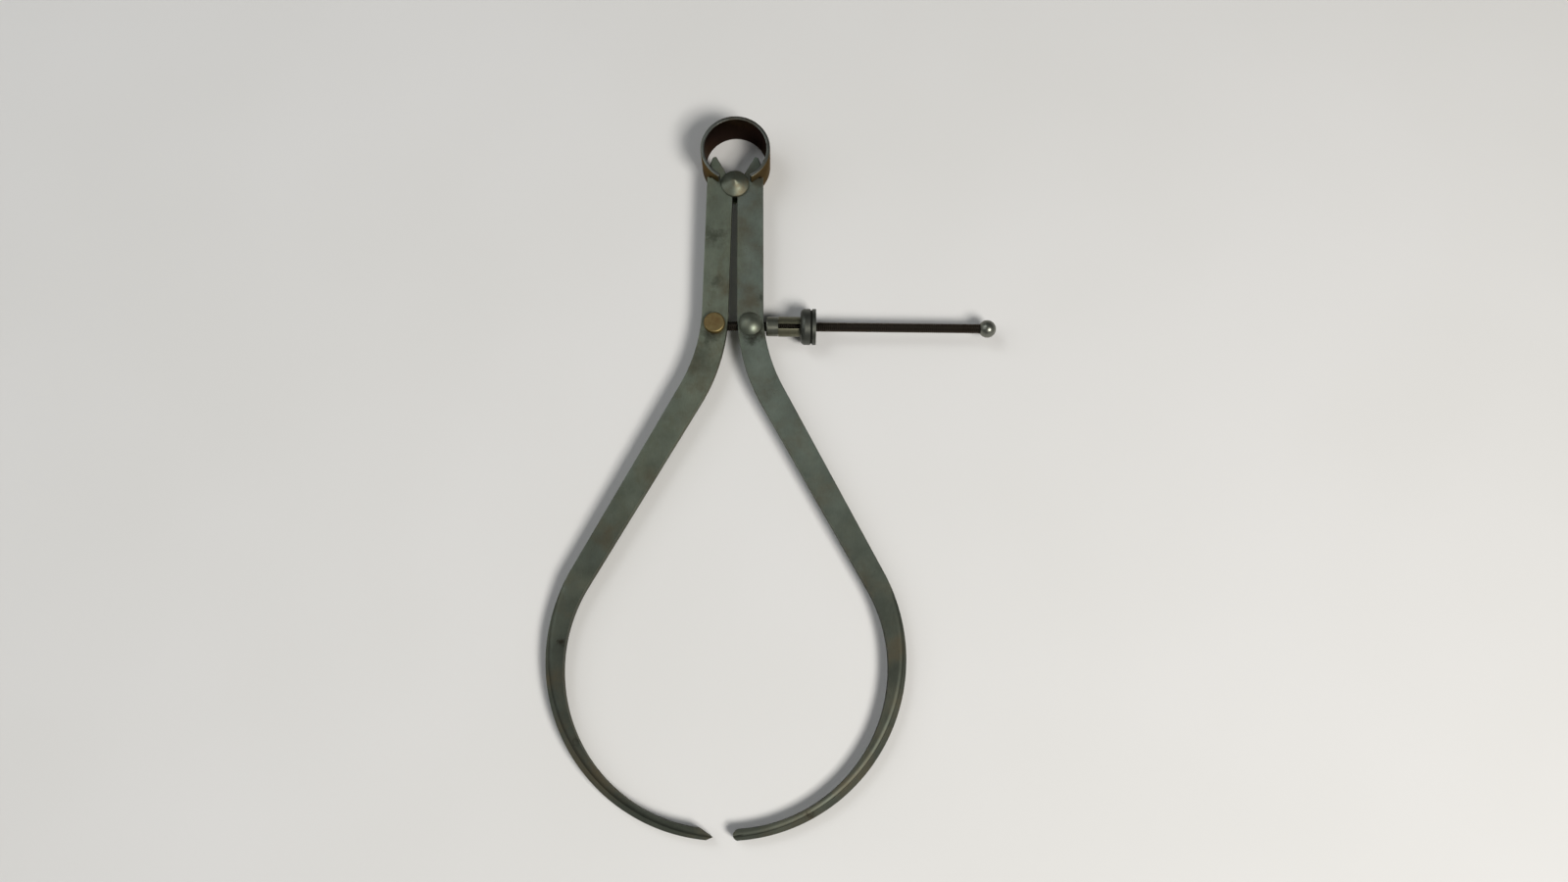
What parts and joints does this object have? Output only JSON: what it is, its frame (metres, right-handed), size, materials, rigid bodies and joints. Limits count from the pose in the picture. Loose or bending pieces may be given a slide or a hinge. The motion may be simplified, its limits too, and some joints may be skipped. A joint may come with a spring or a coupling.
{
  "type": "outside spring caliper",
  "caption": "Outside spring caliper with flat bowed legs that turn on a fulcrum spool under a ring spring, set by a side screw with a quick-acting split nut.",
  "frame": {"origin": "middle of the ring spring, in the middle plane of the legs", "axes": "+Y from the tips towards the ring, +X towards the side the screw stands out on, +Z out of the front face"},
  "size_m": [0.1378, 0.2263, 0.0146],
  "materials": {
    "leg_steel": "dull grey steel with brown patina",
    "spring_steel": "spring steel, bright edges and brown faces",
    "stud_steel": "turned steel with a brown tint",
    "screw_steel": "dark oiled thread",
    "nut_steel": "turned dark grey steel",
    "ball_steel": "bright turned steel"
  },
  "bodies": {
    "fulcrum": {"fulcrum_stud": "stud_steel", "bow_spring": "spring_steel"},
    "left_leg": {"left_leg": "leg_steel"},
    "right_leg": {"right_leg": "leg_steel"},
    "screw": {"screw_post": "stud_steel", "adjusting_screw": "screw_steel", "stop_ball": "ball_steel"},
    "nut_post": {"nut_post": "stud_steel"},
    "washer": {"nut_washer": "nut_steel"},
    "nut": {"quick_nut": "nut_steel"}
  },
  "joints": [
    {"name": "left_leg_open", "type": "hinge", "parent": "fulcrum", "child": "left_leg", "pos_m": [0, -0.0104, 0], "axis": [0, 0, -1], "range_deg": [-0.82, 29], "deforming": ["bow_spring"]},
    {"name": "right_leg_open", "type": "hinge", "parent": "fulcrum", "child": "right_leg", "pos_m": [0, -0.0104, 0], "axis": [0, 0, 1], "range_deg": [-0.82, 29]},
    {"name": "screw_swivel", "type": "hinge", "parent": "left_leg", "child": "screw", "pos_m": [-0.00565, -0.05782, 0], "axis": [0, 0, 1], "range_deg": [-0.82, 29]},
    {"name": "post_swivel", "type": "hinge", "parent": "right_leg", "child": "nut_post", "pos_m": [0.00565, -0.05782, 0], "axis": [0, 0, -1], "range_deg": [-0.82, 29]},
    {"name": "washer_slide", "type": "slide", "parent": "screw", "child": "washer", "axis": [1, 0, 0], "range_m": [-0.00159, 0.0496]},
    {"name": "nut_spin", "type": "hinge", "parent": "washer", "child": "nut", "pos_m": [0, -0.05782, 0], "axis": [1, 0, 0], "continuous": true}
  ],
  "couplings": [
    {"joint": "right_leg_open", "follows": "left_leg_open", "ratio": 1},
    {"joint": "screw_swivel", "follows": "left_leg_open", "ratio": 1},
    {"joint": "post_swivel", "follows": "left_leg_open", "ratio": 1},
    {"joint": "washer_slide", "follows": "left_leg_open", "m_per_rad": 0.0974}
  ]
}
